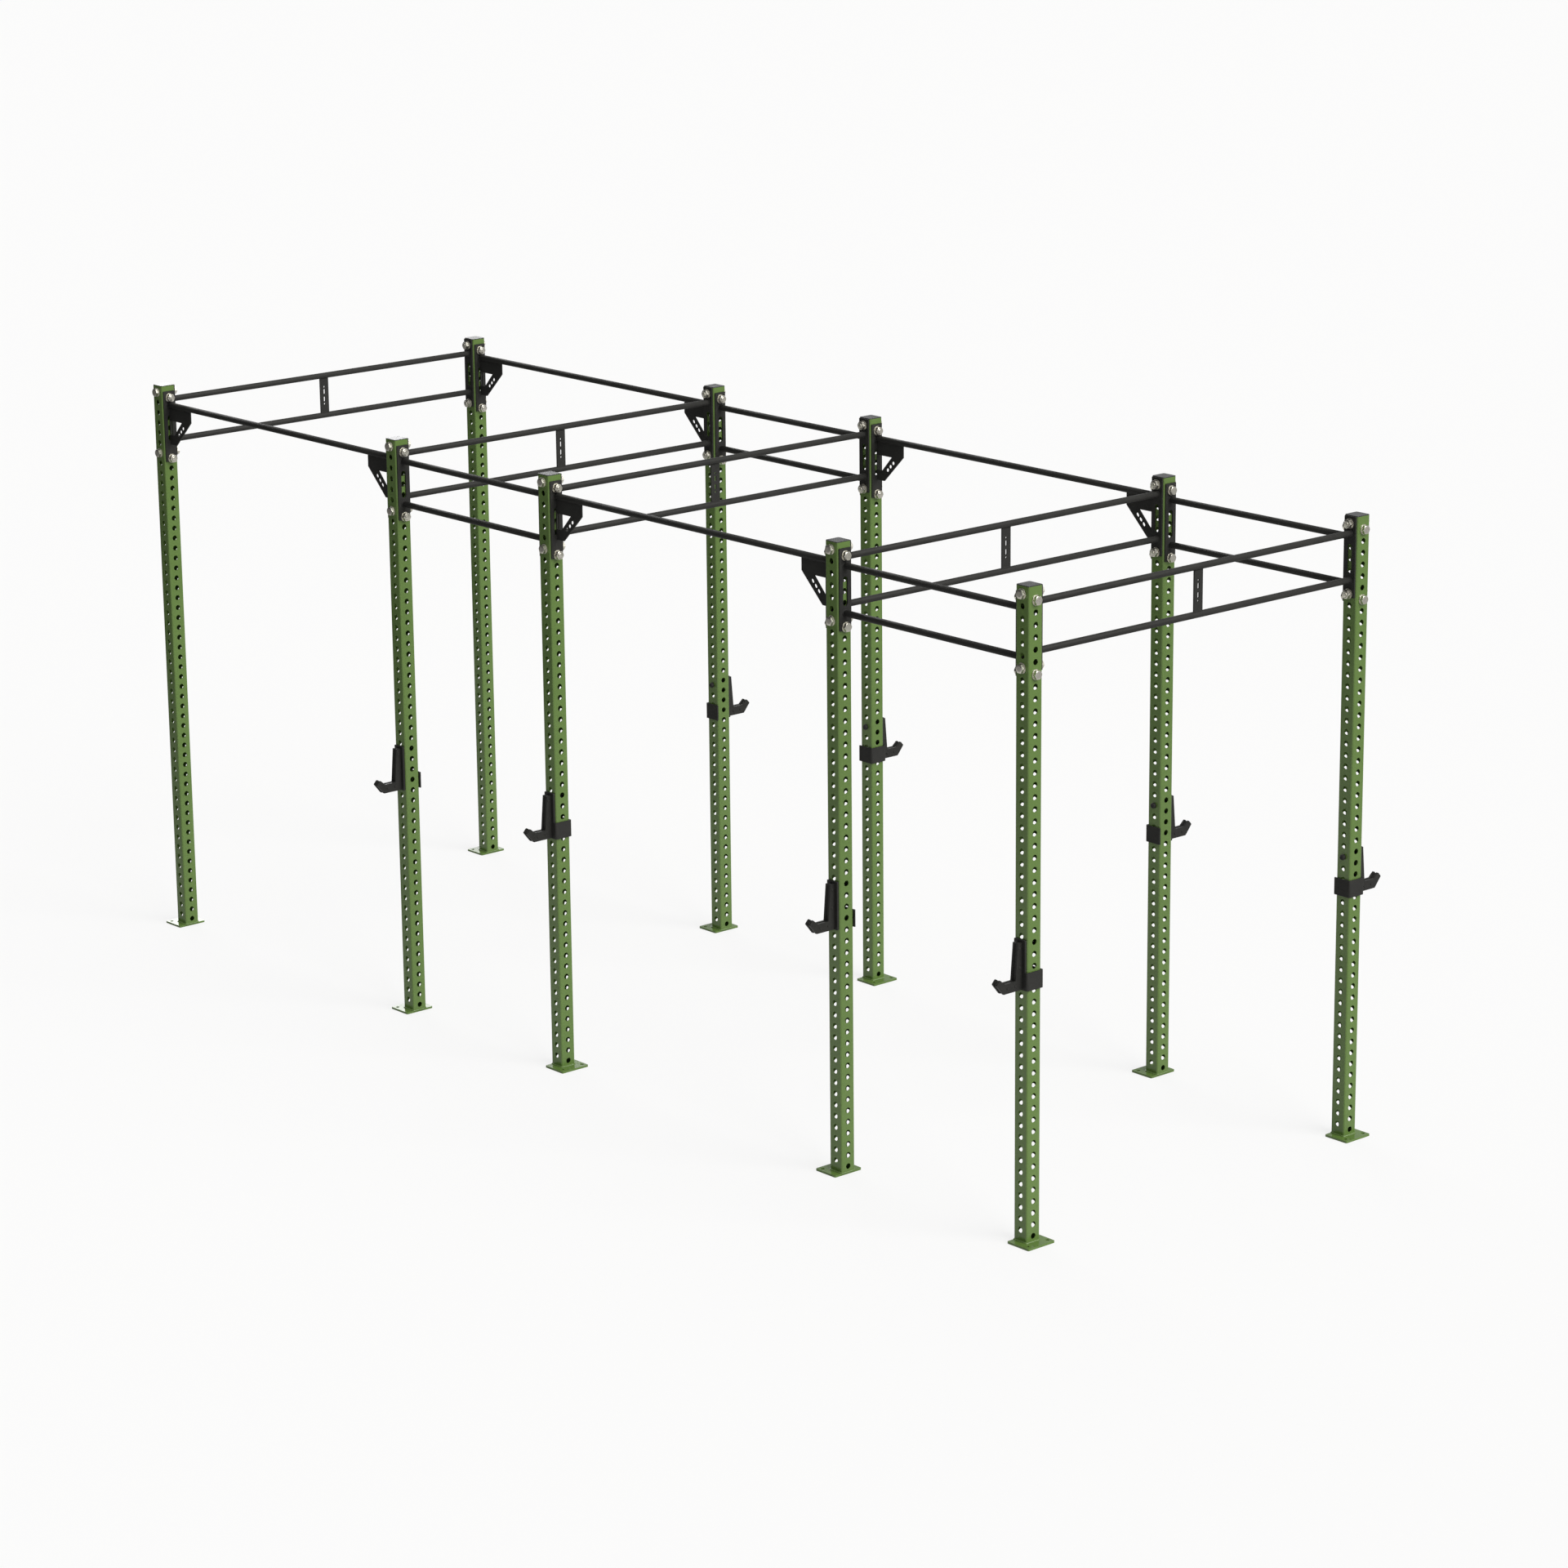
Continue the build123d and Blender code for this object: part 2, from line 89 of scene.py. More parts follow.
# Weld beads; a leg is how far a bead reaches along each of the two faces it joins
BAR_LEG = 3.0 * MM
FOOT_LEG = 4.5 * MM
PLATE_LEG = 2.6 * MM
RIPPLE_PITCH = 3.2 * MM
RIPPLE_HEIGHT = 0.14  # share of the leg
BEAD_STEP = 0.8 * MM  # from one section of a bead to the next
BEAD_CROWN = 0.62  # how far the crown stands out, as a share of the leg
BEAD_SHOULDER = 0.72  # along the leg, where the bead's side turns in towards its crown
SHOULDER_RISE = 0.42  # of the crown
BEAD_END = 0.45  # size of an open bead's last section
BEAD_GROWTH = 0.2  # added with each section from the end
BEAD_SMOOTH = math.radians(50)  # as SMOOTH_ANGLE, for beads
BAR_SIDE = 0.6  # leg on a round bar, as a share of the leg on the plate that stands on it
TUBE_CORNER = 0.2  # outside corner radius of an upright, as a share of half its width
WASHER_GAP_ANGLE = math.radians(48)  # left open beside a washer that is close to the bar
STITCH_TOP = 33.0 * MM  # length of a stitch at the top of a gusset's end plate
STITCH_FOOT = 15.0 * MM  # and at the gusset's foot
STITCH_BAR = 38.0 * MM  # and along the bar
STITCH_COUNT = 3  # stitches along the bar
MIN_BAR_LENGTH = 0.5  # a solid longer than this is a bar

# Edges of the steel and plastic parts: how far they are broken, and how sharp they are before
EDGE_ROUND = 0.7 * MM
EDGE_SEGMENTS = 2
EDGE_ANGLE = math.radians(40)
SOFTENED = ("crossmember", "pull_up_bar", "double_bar", "jcup_bracket", "jcup_liner",
            "jcup_cheeks", "top_caps")


# ---------------------------------------------------------------- materials
class Nodes:
    """A short way to make and join shader nodes."""

    def __init__(self, name):
        self.material = bpy.data.materials.new(name)
        self.material.use_nodes = True
        self.tree = self.material.node_tree
        self.shader = self.tree.nodes["Principled BSDF"]
        place = self.tree.nodes.new("ShaderNodeTexCoord")
        self.place = place.outputs["Object"]

    def join(self, source, target):
        self.tree.links.new(source, target)

    def noise(self, scale, detail=2.0, roughness=0.5, squash=(1, 1, 1)):
        """Noise in object space, with features of about 1 / scale metres."""
        mapping = self.tree.nodes.new("ShaderNodeMapping")
        mapping.inputs["Scale"].default_value = squash
        self.join(self.place, mapping.inputs["Vector"])
        noise = self.tree.nodes.new("ShaderNodeTexNoise")
        noise.inputs["Scale"].default_value = scale
        noise.inputs["Detail"].default_value = detail
        noise.inputs["Roughness"].default_value = roughness
        self.join(mapping.outputs["Vector"], noise.inputs["Vector"])
        return noise.outputs["Fac"]

    def cells(self, scale):
        """A random value for each small cell, for flakes and grains."""
        cells = self.tree.nodes.new("ShaderNodeTexVoronoi")
        cells.inputs["Scale"].default_value = scale
        self.join(self.place, cells.inputs["Vector"])
        return cells.outputs["Color"]

    def ramp(self, value, low, high, start=0.3, end=0.7):
        """Turns a value into a colour between low and high."""
        ramp = self.tree.nodes.new("ShaderNodeValToRGB")
        ramp.color_ramp.elements[0].position = start
        ramp.color_ramp.elements[0].color = (*low, 1)
        ramp.color_ramp.elements[1].position = end
        ramp.color_ramp.elements[1].color = (*high, 1)
        self.join(value, ramp.inputs["Fac"])
        return ramp.outputs["Color"]

    def between(self, value, low, high, start=0.3, end=0.7):
        """Turns a value into a number between low and high."""
        scale = self.tree.nodes.new("ShaderNodeMapRange")
        scale.inputs["From Min"].default_value = start
        scale.inputs["From Max"].default_value = end
        scale.inputs["To Min"].default_value = low
        scale.inputs["To Max"].default_value = high
        self.join(value, scale.inputs["Value"])
        return scale.outputs["Result"]

    def mix(self, first, second, share, blend="MIX"):
        mix = self.tree.nodes.new("ShaderNodeMix")
        mix.data_type = "RGBA"
        mix.blend_type = blend
        mix.inputs["Factor"].default_value = share
        self.join(first, mix.inputs["A"])
        self.join(second, mix.inputs["B"])
        return mix.outputs["Result"]

    def bump(self, height, distance, strength=1.0, under=None):
        bump = self.tree.nodes.new("ShaderNodeBump")
        bump.inputs["Strength"].default_value = strength
        bump.inputs["Distance"].default_value = distance
        self.join(height, bump.inputs["Height"])
        if under is not None:
            self.join(under, bump.inputs["Normal"])
        return bump.outputs["Normal"]

    def shade(self, colour, roughness, normal, metallic=0.0, **fixed):
        self.join(colour, self.shader.inputs["Base Color"])
        self.join(roughness, self.shader.inputs["Roughness"])
        self.join(normal, self.shader.inputs["Normal"])
        self.shader.inputs["Metallic"].default_value = metallic
        for name, value in fixed.items():
            self.shader.inputs[name.replace("_", " ")].default_value = value
        return self.material


def green_coat():
    """Semi-gloss green powder coat: faint orange peel and a fine metallic flake."""
    n = Nodes("green_powder_coat")
    cloud = n.ramp(n.noise(9, 3), (0.098, 0.170, 0.038), (0.110, 0.186, 0.046))
    flake = n.ramp(n.cells(2600), (0.080, 0.145, 0.028), (0.128, 0.211, 0.056), 0.1, 0.9)
    roughness = n.between(n.noise(160, 2), 0.14, 0.22)
    peel = n.bump(n.noise(420, 2), 0.05 * MM, 0.5)
    grain = n.bump(n.noise(2200, 1), 0.012 * MM, 0.5, peel)
    return n.shade(n.mix(cloud, flake, 0.3), roughness, grain)


def black_coat():
    """Satin black powder coat with a fine sandy texture."""
    n = Nodes("black_powder_coat")
    cloud = n.ramp(n.noise(14, 3), (0.023, 0.023, 0.022), (0.030, 0.030, 0.028))
    grain = n.ramp(n.noise(1500, 3), (0.017, 0.017, 0.016), (0.038, 0.038, 0.036))
    roughness = n.between(n.noise(300, 2), 0.50, 0.62)
    sand = n.bump(n.noise(1300, 3, 0.6), 0.06 * MM, 0.6)
    return n.shade(n.mix(cloud, grain, 0.4), roughness, sand, Specular_IOR_Level=0.15)


def black_plastic():
    """Matt polyethylene with the faint lines of the milling cutter."""
    n = Nodes("black_plastic")
    cloud = n.ramp(n.noise(30, 3), (0.016, 0.016, 0.015), (0.023, 0.023, 0.021))
    lines = n.noise(60, 2, squash=(1, 1, 22))
    scuffs = n.ramp(n.noise(220, 4, 0.7), (0.012, 0.012, 0.011), (0.030, 0.030, 0.028), 0.35, 0.8)
    roughness = n.between(lines, 0.38, 0.52)
    milled = n.bump(lines, 0.04 * MM, 0.5)
    fine = n.bump(n.noise(1800, 2), 0.02 * MM, 0.4, milled)
    return n.shade(n.mix(cloud, scuffs, 0.35), roughness, fine, Specular_IOR_Level=0.25)


def cap_plastic():
    """Smooth moulded plastic with a soft gloss and a little grain."""
    n = Nodes("cap_plastic")
    cloud = n.ramp(n.noise(40, 3), (0.020, 0.021, 0.023), (0.028, 0.029, 0.031))
    grain = n.ramp(n.noise(900, 2), (0.017, 0.017, 0.019), (0.033, 0.034, 0.036))
    roughness = n.between(n.noise(120, 2), 0.22, 0.32)
    leather = n.bump(n.noise(700, 2), 0.03 * MM, 0.4)
    return n.shade(n.mix(cloud, grain, 0.3), roughness, leather)


def zinc():
    """Bright zinc plating, a little warm, with fine spangle and handling marks."""
    n = Nodes("zinc_hardware")
    cloud = n.ramp(n.noise(90, 3), (0.62, 0.60, 0.52), (0.76, 0.74, 0.66))
    spangle = n.ramp(n.cells(900), (0.55, 0.53, 0.46), (0.82, 0.80, 0.73), 0.1, 0.9)
    roughness = n.between(n.noise(260, 4, 0.65), 0.24, 0.38)
    marks = n.bump(n.noise(500, 4, 0.7), 0.03 * MM, 0.4)
    return n.shade(n.mix(cloud, spangle, 0.3), roughness, marks, metallic=1.0)


MATERIALS = {
    "green_powder_coat": green_coat(),
    "black_powder_coat": black_coat(),
    "black_plastic": black_plastic(),
    "cap_plastic": cap_plastic(),
    "zinc_hardware": zinc(),
}


def soften_edges(node):
    """Breaks a part's sharp edges, as deburring and the coat over it do."""
    weld = node.modifiers.new("weld", "WELD")
    weld.merge_threshold = SAME_POINT
    soft = node.modifiers.new("soft_edges", "BEVEL")
    soft.width = EDGE_ROUND
    soft.segments = EDGE_SEGMENTS
    soft.angle_limit = EDGE_ANGLE
    soft.miter_outer = "MITER_ARC"
    soft.harden_normals = True


def finish_cad_nodes():
    """Gives every CAD node its material, and the plate and plastic parts soft edges."""
    for name, node in nodes.items():
        node.data.materials.clear()
        node.data.materials.append(MATERIALS[slot_of[name]])
        if name.startswith(SOFTENED):
            soften_edges(node)


# ---------------------------------------------------------------- mesh helpers
def solids(node):
    """The points of each separate solid of a CAD node."""
    mesh = bmesh.new()
    mesh.from_mesh(nodes[node].data)
    bmesh.ops.remove_doubles(mesh, verts=mesh.verts, dist=SAME_POINT)
    seen = set()
    found = []
    for start in mesh.verts:
        if start in seen:
            continue
        seen.add(start)
        group = [start]
        for vertex in group:
            for edge in vertex.link_edges:
                other = edge.other_vert(vertex)
                if other not in seen:
                    seen.add(other)
                    group.append(other)
        found.append([vertex.co.copy() for vertex in group])
    mesh.free()
    return found


def corners(points):
    low = Vector(min(p[i] for p in points) for i in range(3))
    high = Vector(max(p[i] for p in points) for i in range(3))
    return low, high


def unit(axis, sign=1):
    direction = Vector((0, 0, 0))
    direction[axis] = sign
    return direction


def join_rings(mesh, rings, closed=False):
    """Quads between each ring of points and the next, all rings being loops."""
    made = [[mesh.verts.new(point) for point in ring] for ring in rings]
    pairs = list(zip(made, made[1:]))
    if closed:
        pairs.append((made[-1], made[0]))
    for ring, after in pairs:
        for i in range(len(ring)):
            j = (i + 1) % len(ring)
            mesh.faces.new((ring[i], ring[j], after[j], after[i]))
    return made


def piece(name, mesh, slot, smooth_angle=SMOOTH_ANGLE):
    """Turns a bmesh into a piece that rides on the rig."""
    bmesh.ops.recalc_face_normals(mesh, faces=mesh.faces)
    data = bpy.data.meshes.new(name)
    mesh.to_mesh(data)
    mesh.free()
    data.shade_smooth()
    data.set_sharp_from_angle(angle=smooth_angle)
    data.materials.append(MATERIALS[slot])
    made = bpy.data.objects.new(name, data)
    bpy.context.scene.collection.objects.link(made)
    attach(made, RIG)
    return made


# ---------------------------------------------------------------- bolts and nuts
def hex_radius(angle, half_width):
    """Distance from a hexagon's centre to its outline, with a corner at angle 0."""
    sector = TURN / SIDES
    return half_width / math.cos(angle % sector - sector / 2)


class Turned:
    """Points round an axis, given as (radius, place along the axis)."""

    def __init__(self, base, along, corner):
        self.base = base
        self.along = along
        self.corner = corner
        self.across = along.cross(corner)

    def point(self, angle, radius, place):
        spoke = self.corner * math.cos(angle) + self.across * math.sin(angle)
        return self.base + spoke * radius + self.along * place

    def ring(self, shape):
        """A ring of points; shape gives radius and place for an angle."""
        angles = [TURN * i / ROUND_STEPS for i in range(ROUND_STEPS)]
        return [self.point(angle, *shape(angle)) for angle in angles]

    def circle(self, radius, place):
        return self.ring(lambda angle: (radius, place))

    def hexagon(self, half_width, face, inward):
        """A hexagon whose edge is cut by the cone of the turned chamfer at face."""
        flat = half_width * CHAMFER_CIRCLE

        def shape(angle):
            radius = hex_radius(angle, half_width)
            return radius, face + inward * (radius - flat) * CHAMFER_SLOPE

        return self.ring(shape)

    def plain_hexagon(self, half_width, place):
        return self.ring(lambda angle: (hex_radius(angle, half_width), place))

    def thread(self, radius, start, end):
        """Rings of a helical thread that fades in at its start and tapers at its end."""
        rings = []
        count = round((end - start) / THREAD_PITCH * THREAD_STEPS)
        for i in range(count + 1):
            place = start + (end - start) * i / count

            def shape(angle, place=place):
                phase = ((place - start) / THREAD_PITCH - angle / TURN) % 1
                groove = 1 - abs(2 * phase - 1)
                fade = min(1, (place - start) / THREAD_PITCH)
                taper = max(0, place - end + TIP_TAPER)
                return radius - THREAD_DEPTH * groove * fade - taper * TIP_SLOPE, place

            rings.append(self.ring(shape))
        return rings


def hexagon_facts(points, axis):
    """Half the width across flats and the direction of a corner, of a hexagonal solid."""
    low, high = corners(points)
    others = [i for i in range(3) if i != axis]
    others.sort(key=lambda i: high[i] - low[i])
    return (high[others[0]] - low[others[0]]) / 2, unit(others[1])


def build_bolt(mesh, points):
    low, high = corners(points)
    size = high - low
    axis = max(range(3), key=lambda i: size[i])
    middle = (low + high) / 2
    others = [i for i in range(3) if i != axis]

    def reach(place):
        """Greatest distance from the axis among the points at a place on it."""
        level = [p for p in points if abs(p[axis] - place) < SAME_POINT]
        return max(math.hypot(*(p[i] - middle[i] for i in others)) for p in level)

    ends = (low[axis], high[axis])
    levels = sorted({round(p[axis], LEVEL_DIGITS) for p in points})
    if reach(ends[0]) > reach(ends[1]):
        head, tip, under, sign = ends[0], ends[1], levels[2], 1
    else:
        head, tip, under, sign = ends[1], ends[0], levels[-3], -1
    half_width, corner = hexagon_facts(points, axis)
    shank = reach(levels[-2] if sign > 0 else levels[1])
    base = middle.copy()
    base[axis] = head
    turned = Turned(base, unit(axis, sign), corner)
    head_height = abs(under - head)
    length = abs(tip - head)
    rings = [
        turned.circle(half_width * HEAD_CENTRE, 0.0),
        turned.circle(half_width * CHAMFER_CIRCLE, 0.0),
        turned.hexagon(half_width, 0.0, 1),
        turned.plain_hexagon(half_width, head_height),
        turned.circle(shank, head_height),
    ]
    rings += turned.thread(shank, length - THREAD_LENGTH, length)
    made = join_rings(mesh, rings)
    mesh.faces.new(made[0])
    mesh.faces.new(made[-1])


def build_nut(mesh, points):
    low, high = corners(points)
    size = high - low
    axis = min(range(3), key=lambda i: size[i])
    middle = (low + high) / 2
    others = [i for i in range(3) if i != axis]
    bore = min(math.hypot(*(p[i] - middle[i] for i in others)) for p in points)
    half_width, corner = hexagon_facts(points, axis)
    base = middle.copy()
    base[axis] = low[axis]
    turned = Turned(base, unit(axis), corner)
    height = size[axis]
    flat = half_width * CHAMFER_CIRCLE
    rings = [
        turned.circle(bore, COUNTERSINK),
        turned.circle(bore + COUNTERSINK, 0.0),
        turned.circle(flat, 0.0),
        turned.hexagon(half_width, 0.0, 1),
        turned.hexagon(half_width, height, -1),
        turned.circle(flat, height),
        turned.circle(bore + COUNTERSINK, height),
        turned.circle(bore, height - COUNTERSINK),
    ]
    join_rings(mesh, rings, closed=True)


def make_fasteners():
    """Turned and threaded bolts and nuts in place of the plain ones."""
    for node, name, build in (
        ("hex_bolts", "threaded_bolts", build_bolt),
        ("hex_nuts", "chamfered_nuts", build_nut),
    ):
        mesh = bmesh.new()
        for points in solids(node):
            build(mesh, points)
        made = piece(name, mesh, "zinc_hardware")
        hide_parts(node)


# ---------------------------------------------------------------- weld beads
def bead(mesh, path, leg, closed):
    """A rippled fillet weld. path holds (corner point, first side, second side), where the
    sides are the directions in which the two welded faces run away from the corner."""
    sections = []
    run = 0.0
    for i, (point, first, second) in enumerate(path):
        if i:
            run += (point - path[i - 1][0]).length
        ripple = 1 + RIPPLE_HEIGHT * (abs(math.sin(math.pi * run / RIPPLE_PITCH)) - 0.5)
        if not closed:
            end = min(i, len(path) - 1 - i)
            ripple *= min(1, BEAD_END + BEAD_GROWTH * end)
        size = leg * ripple
        crown = (first + second) * size * BEAD_CROWN
        shoulder = size * BEAD_SHOULDER
        sections.append([
            point,
            point + first * size,
            point + first * shoulder + crown * SHOULDER_RISE,
            point + crown,
            point + second * shoulder + crown * SHOULDER_RISE,
            point + second * size,
        ])
    made = join_rings(mesh, sections, closed)
    if not closed:
        mesh.faces.new(made[0])
        mesh.faces.new(made[-1])


def line_path(start, end, first, second):
    count = max(2, round((end - start).length / BEAD_STEP))
    return [(start.lerp(end, i / count), first, second) for i in range(count + 1)]


def ring_path(centre, along, up, radius, skip):
    """Round a bar at its end plate, leaving the angle skip open on each side of up."""
    across = along.cross(up)
    sweep = TURN - 2 * skip
    count = round(sweep * radius / BEAD_STEP)
    path = []
    for i in range(count + (1 if skip else 0)):
        angle = skip + sweep * i / count
        spoke = up * math.cos(angle) + across * math.sin(angle)
        path.append((centre + spoke * radius, spoke, along))
    return path


def bar_welds(mesh, low, high, skip):
    """Beads at both ends of a bar, given the corners of its box."""
    size = high - low
    axis = max(range(3), key=lambda i: size[i])
    radius = size[2] / 2
    for end, sign in ((low, 1), (high, -1)):
        centre = (low + high) / 2
        centre[axis] = end[axis]
        path = ring_path(centre, unit(axis, sign), unit(2), radius, skip)
        bead(mesh, path, BAR_LEG, closed=not skip)


def brace_welds(mesh, low, high):
    """Beads on both sides of a brace, along the bars above and below it."""
    size = high - low
    thin = min(range(3), key=lambda i: size[i])
    wide = 1 - thin
    for side, face in ((-1, low), (1, high)):
        for edge, up in ((low, 1), (high, -1)):
            start = Vector((0, 0, edge[2]))
            start[thin] = face[thin]
            end = start.copy()
            start[wide] = low[wide]
            end[wide] = high[wide]
            path = line_path(start, end, unit(thin, side) * BAR_SIDE, unit(2, up))
            bead(mesh, path, PLATE_LEG, closed=False)


def gusset_welds(mesh, low, high, inward):
    """Stitch beads between a gusset and its end plate, and along the bar above it."""
    plate_x = low.x if inward > 0 else high.x
    for side, face in ((-1, low.y), (1, high.y)):
        out = unit(1, side)
        for top, length in ((high.z, STITCH_TOP), (low.z + STITCH_FOOT, STITCH_FOOT)):
            start = Vector((plate_x, face, top))
            end = start - unit(2) * length
            bead(mesh, line_path(start, end, out, unit(0, inward)), PLATE_LEG, closed=False)
        reach = high.x - low.x
        pitch = (reach - STITCH_BAR) / STITCH_COUNT
        for i in range(STITCH_COUNT):
            start = Vector((plate_x + inward * pitch * (i + 1), face, high.z))
            end = start + unit(0, inward) * STITCH_BAR
            path = line_path(start, end, out * BAR_SIDE, unit(2, -1))
            bead(mesh, path, PLATE_LEG, closed=False)


def weld_bars(node):
    """All the beads of one crossmember, pull-up bar or double bar."""
    mesh = bmesh.new()
    boxes = [corners(points) for points in solids(node)]
    bars = [b for b in boxes if max(b[1] - b[0]) > MIN_BAR_LENGTH]
    single = len(bars) == 1
    for low, high in bars:
        bar_welds(mesh, low, high, WASHER_GAP_ANGLE if single else 0)
    plates = sorted(boxes, key=lambda b: b[1].z - b[0].z)[-2:]
    others = [b for b in boxes if b not in bars and b not in plates]
    middle = sum((b[0].x + b[1].x for b in boxes), 0.0) / (2 * len(boxes))
    for low, high in others:
        if single:
            gusset_welds(mesh, low, high, 1 if low.x < middle else -1)
        else:
            brace_welds(mesh, low, high)
    piece(f"{node}_welds", mesh, "black_powder_coat", smooth_angle=BEAD_SMOOTH)


def weld_foot(name, node, tube_low, tube_high):
    """The bead between an upright's tube and its foot plate."""
    middle = (tube_low + tube_high) / 2
    half = (tube_high.x - tube_low.x) / 2
    beyond_tube = half + MM
    points = [v.co for v in nodes[node].data.vertices]
    plate_top = max(p.z for p in points if abs(p.x - middle.x) > beyond_tube)
    corner = half * TUBE_CORNER
    straight = half - corner
    path = []
    for turn in range(4):
        spin = Matrix.Rotation(turn * TURN / 4, 3, "Z")
        out = spin @ Vector((1, 0, 0))
        side = spin @ Vector((0, 1, 0))
        base = Vector((middle.x, middle.y, plate_top))
        steps = round(2 * straight / BEAD_STEP)
        for i in range(steps):
            place = -straight + 2 * straight * i / steps
            path.append((base + out * half + side * place, out, unit(2)))
        steps = round(corner * TURN / 4 / BEAD_STEP)
        for i in range(steps):
            angle = TURN / 4 * i / steps
            spoke = out * math.cos(angle) + side * math.sin(angle)
            centre = base + (out + side) * straight
            path.append((centre + spoke * corner, spoke, unit(2)))
    mesh = bmesh.new()
    bead(mesh, path, FOOT_LEG, closed=True)
    piece(name, mesh, "green_powder_coat", smooth_angle=BEAD_SMOOTH)


def make_welds():
    for node in nodes:
        if node.startswith(("crossmember", "pull_up_bar", "double_bar")):
            weld_bars(node)
    caps = [corners(points) for points in solids("top_caps")]
    for node in nodes:
        if node.startswith("upright"):
            low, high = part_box(node)
            for cap_low, cap_high in caps:
                middle = (cap_low + cap_high) / 2
                if low.x < middle.x < high.x and low.y < middle.y < high.y:
                    weld_foot(f"{node}_foot_weld", node, cap_low, cap_high)


# ---------------------------------------------------------------- stage, light and camera
FLOOR_HALF = 150.0  # half the floor's width
FLOOR_GLOW = 0.775  # share of the floor's brightness that no shadow reaches
FLOOR_SHADE = 0.16  # what the floor shows of the light and shadow on it
# What the floor sends back to the rig: dim far in front, bright near it, less far behind.
# Places are metres along the diagonal from the front left to the back right.
FLOOR_BOUNCE = ((-9.0, 0.12), (-1.5, 0.60), (1.5, 0.60), (9.0, 0.36))
BACKDROP = 0.971  # brightness of the background beyond the floor
SKY_BACK = 0.45  # strength of the light from behind the rig
SKY_FRONT = 0.03  # and from in front of it
SKY_TURN = (-0.25, 0.35)  # where the sky changes from front to back, along Y
WINDOW_LIGHT = 5.5
# Degrees from straight behind towards the left: soft start, full, full, soft end
WINDOW_AZIMUTH = (52.8, 53.4, 84.0, 90.0)
WINDOW_HEIGHT = (0.10, 0.16, 0.42, 0.52)  # the same, as heights on the unit sphere

# The camera's place in metres, its angles round the rig in degrees, and its lens in mm
CAMERA_AT = (15.987, -13.478, 6.871)
CAMERA_AZIMUTH = 49.038
CAMERA_ELEVATION = 15.264
CAMERA_ROLL = -0.600
CAMERA_LENS = 106.14

# name, azimuth and elevation that the light comes from, strength, angular size, colour
SUNS = (
    ("key", 96.0, 38.0, 3.2, 50.0, (1.0, 0.985, 0.955)),
    ("top", 10.0, 80.0, 0.9, 90.0, (1.0, 1.0, 1.0)),
)


def toward(azimuth, elevation):
    """Unit vector from the object towards a place round it, azimuth 0 being in front."""
    a = math.radians(azimuth)
    e = math.radians(elevation)
    return Vector((math.sin(a) * math.cos(e), -math.cos(a) * math.cos(e), math.sin(e)))


def make_floor():
    mesh = bmesh.new()
    bmesh.ops.create_grid(mesh, x_segments=1, y_segments=1, size=FLOOR_HALF)
    data = bpy.data.meshes.new("floor")
    mesh.to_mesh(data)
    mesh.free()
    floor = bpy.data.objects.new("floor", data)
    bpy.context.scene.collection.objects.link(floor)
    floor.location.z = cad_low.z
    material = bpy.data.materials.new("pale_floor")
    material.use_nodes = True
    tree = material.node_tree
    tree.nodes.clear()
    glow = tree.nodes.new("ShaderNodeEmission")
    glow.inputs["Strength"].default_value = FLOOR_GLOW
    shaded = tree.nodes.new("ShaderNodeBsdfDiffuse")
    shaded.inputs["Color"].default_value = (FLOOR_SHADE, FLOOR_SHADE, FLOOR_SHADE, 1)
    bounce = tree.nodes.new("ShaderNodeBsdfDiffuse")
    diagonal = tree.nodes.new("ShaderNodeVectorMath")
    diagonal.operation = "DOT_PRODUCT"
    diagonal.inputs[1].default_value = Vector((1, 1, 0)).normalized()
    tree.links.new(tree.nodes.new("ShaderNodeTexCoord").outputs["Object"], diagonal.inputs[0])
    reach = tree.nodes.new("ShaderNodeMapRange")
    reach.inputs["From Min"].default_value = FLOOR_BOUNCE[0][0]
    reach.inputs["From Max"].default_value = FLOOR_BOUNCE[-1][0]
    tree.links.new(diagonal.outputs["Value"], reach.inputs["Value"])
    shares = tree.nodes.new("ShaderNodeValToRGB")
    steps = shares.color_ramp.elements
    while len(steps) < len(FLOOR_BOUNCE):
        steps.new(0.5)
    for step, (place, share) in zip(steps, FLOOR_BOUNCE):
        step.position = (place - FLOOR_BOUNCE[0][0]) / (FLOOR_BOUNCE[-1][0] - FLOOR_BOUNCE[0][0])
        step.color = (share, share, share, 1)
    tree.links.new(reach.outputs["Result"], shares.inputs["Fac"])
    tree.links.new(shares.outputs["Color"], bounce.inputs["Color"])
    both = tree.nodes.new("ShaderNodeAddShader")
    tree.links.new(glow.outputs["Emission"], both.inputs[0])
    tree.links.new(shaded.outputs["BSDF"], both.inputs[1])
    seen = tree.nodes.new("ShaderNodeLightPath").outputs["Is Camera Ray"]
    choose = tree.nodes.new("ShaderNodeMixShader")
    tree.links.new(seen, choose.inputs["Fac"])
    tree.links.new(bounce.outputs["BSDF"], choose.inputs[1])
    tree.links.new(both.outputs["Shader"], choose.inputs[2])
    out = tree.nodes.new("ShaderNodeOutputMaterial")
    tree.links.new(choose.outputs["Shader"], out.inputs["Surface"])
    data.materials.append(material)


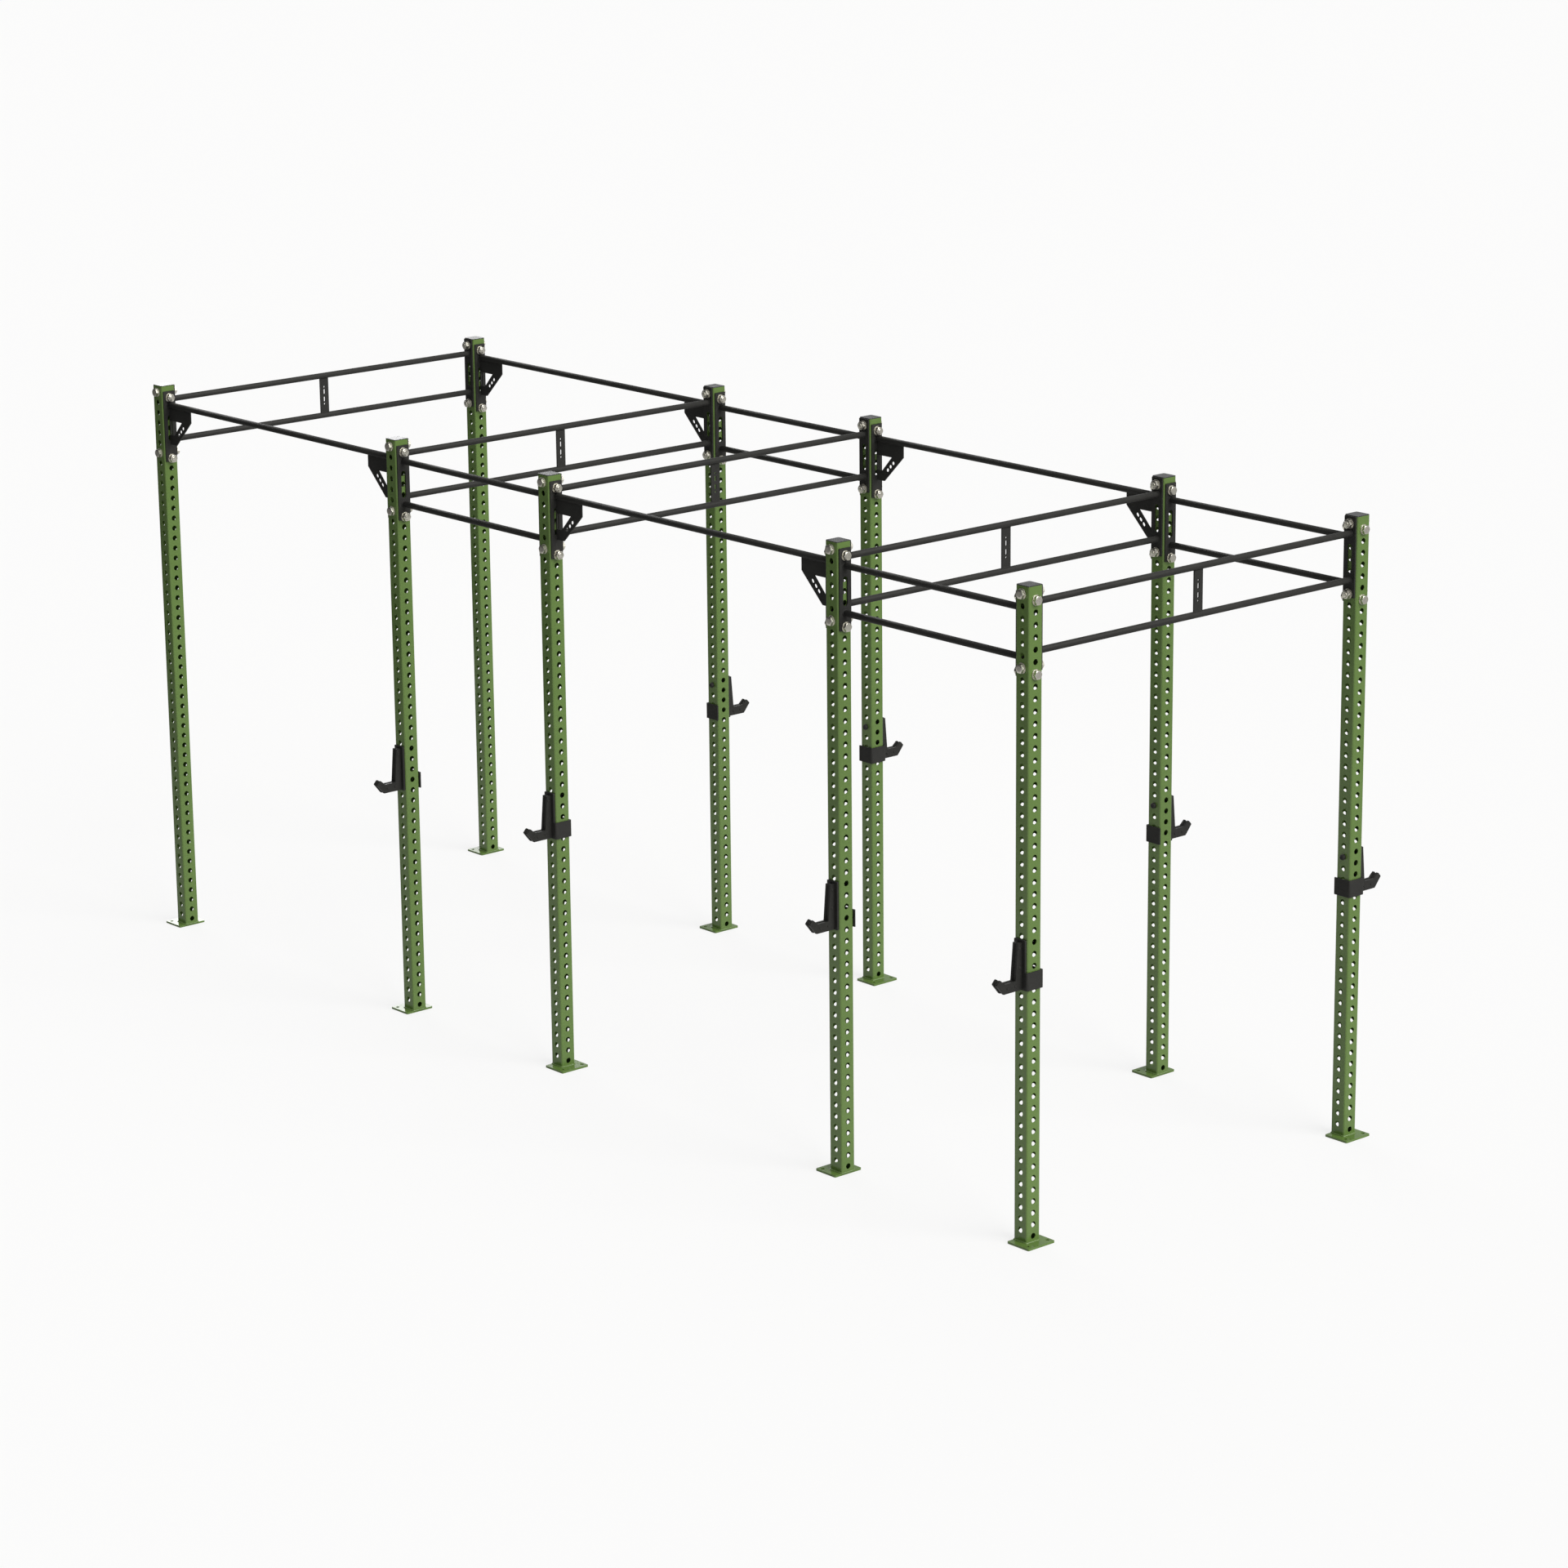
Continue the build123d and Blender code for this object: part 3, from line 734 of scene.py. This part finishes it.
def make_world():
    """A room that is pale behind the rig and dim in front, with a window of light behind
    the rig's left end."""
    world = bpy.data.worlds.new("studio")
    bpy.context.scene.world = world
    world.use_nodes = True
    tree = world.node_tree
    tree.nodes.clear()

    def node(kind, **settings):
        made = tree.nodes.new(kind)
        for key, value in settings.items():
            setattr(made, key, value)
        return made

    def times(first, second):
        product = node("ShaderNodeMath", operation="MULTIPLY")
        tree.links.new(first, product.inputs[0])
        tree.links.new(second, product.inputs[1])
        return product.outputs["Value"]

    def scaled(value, factor):
        product = node("ShaderNodeMath", operation="MULTIPLY")
        tree.links.new(value, product.inputs[0])
        product.inputs[1].default_value = factor
        return product.outputs["Value"]

    def smooth(value, edges):
        """1 between the inner edges, falling to 0 at the outer ones."""
        shares = []
        for start, end in ((edges[0], edges[1]), (edges[3], edges[2])):
            share = node("ShaderNodeMapRange", interpolation_type="SMOOTHSTEP")
            share.inputs["From Min"].default_value = start
            share.inputs["From Max"].default_value = end
            tree.links.new(value, share.inputs["Value"])
            shares.append(share.outputs["Result"])
        return times(*shares)

    direction = node("ShaderNodeTexCoord").outputs["Generated"]
    parts = node("ShaderNodeSeparateXYZ")
    tree.links.new(direction, parts.inputs["Vector"])
    turn = node("ShaderNodeMath", operation="ARCTAN2")  # the azimuth, from behind to the left
    tree.links.new(scaled(parts.outputs["X"], -1.0), turn.inputs[0])
    tree.links.new(parts.outputs["Y"], turn.inputs[1])
    azimuths = [math.radians(a) for a in WINDOW_AZIMUTH]
    beside = smooth(turn.outputs["Value"], azimuths)
    window = times(beside, smooth(parts.outputs["Z"], WINDOW_HEIGHT))
    depth = node("ShaderNodeMapRange", interpolation_type="SMOOTHSTEP")
    depth.inputs["From Min"].default_value = SKY_TURN[0]
    depth.inputs["From Max"].default_value = SKY_TURN[1]
    depth.inputs["To Min"].default_value = SKY_FRONT
    depth.inputs["To Max"].default_value = SKY_BACK
    tree.links.new(parts.outputs["Y"], depth.inputs["Value"])
    room = node("ShaderNodeBackground")
    room.inputs["Color"].default_value = (1, 1, 1, 1)
    tree.links.new(depth.outputs["Result"], room.inputs["Strength"])
    light = node("ShaderNodeBackground")
    tree.links.new(scaled(window, WINDOW_LIGHT), light.inputs["Strength"])
    both = node("ShaderNodeAddShader")
    tree.links.new(room.outputs["Background"], both.inputs[0])
    tree.links.new(light.outputs["Background"], both.inputs[1])
    backdrop = node("ShaderNodeBackground")
    backdrop.inputs["Color"].default_value = (BACKDROP, BACKDROP, BACKDROP, 1)
    seen = node("ShaderNodeLightPath").outputs["Is Camera Ray"]
    choose = node("ShaderNodeMixShader")
    tree.links.new(seen, choose.inputs["Fac"])
    tree.links.new(both.outputs["Shader"], choose.inputs[1])
    tree.links.new(backdrop.outputs["Background"], choose.inputs[2])
    out = node("ShaderNodeOutputWorld")
    tree.links.new(choose.outputs["Shader"], out.inputs["Surface"])


def make_lights():
    for name, azimuth, elevation, strength, angle, colour in SUNS:
        light = bpy.data.lights.new(name, "SUN")
        light.energy = strength
        light.angle = math.radians(angle)
        light.color = colour
        sun = bpy.data.objects.new(name, light)
        bpy.context.scene.collection.objects.link(sun)
        sun.rotation_mode = "QUATERNION"
        sun.rotation_quaternion = toward(azimuth, elevation).to_track_quat("Z", "Y")


def make_camera():
    data = bpy.data.cameras.new("camera")
    data.lens = CAMERA_LENS
    data.clip_end = 4 * FLOOR_HALF
    camera = bpy.data.objects.new("camera", data)
    bpy.context.scene.collection.objects.link(camera)
    back = toward(CAMERA_AZIMUTH, CAMERA_ELEVATION)
    azimuth = math.radians(CAMERA_AZIMUTH)
    level = Vector((math.cos(azimuth), math.sin(azimuth), 0))
    upright = back.cross(level)
    facing = Matrix((level, upright, back)).transposed()
    roll = Matrix.Rotation(math.radians(CAMERA_ROLL), 3, "Z")
    camera.rotation_mode = "QUATERNION"
    camera.rotation_quaternion = (facing @ roll).to_quaternion()
    camera.location = CAMERA_AT
    bpy.context.scene.camera = camera


make_camera()
make_world()
make_lights()
make_floor()
finish_cad_nodes()
make_fasteners()
make_welds()
bpy.context.scene.view_settings.view_transform = "Standard"
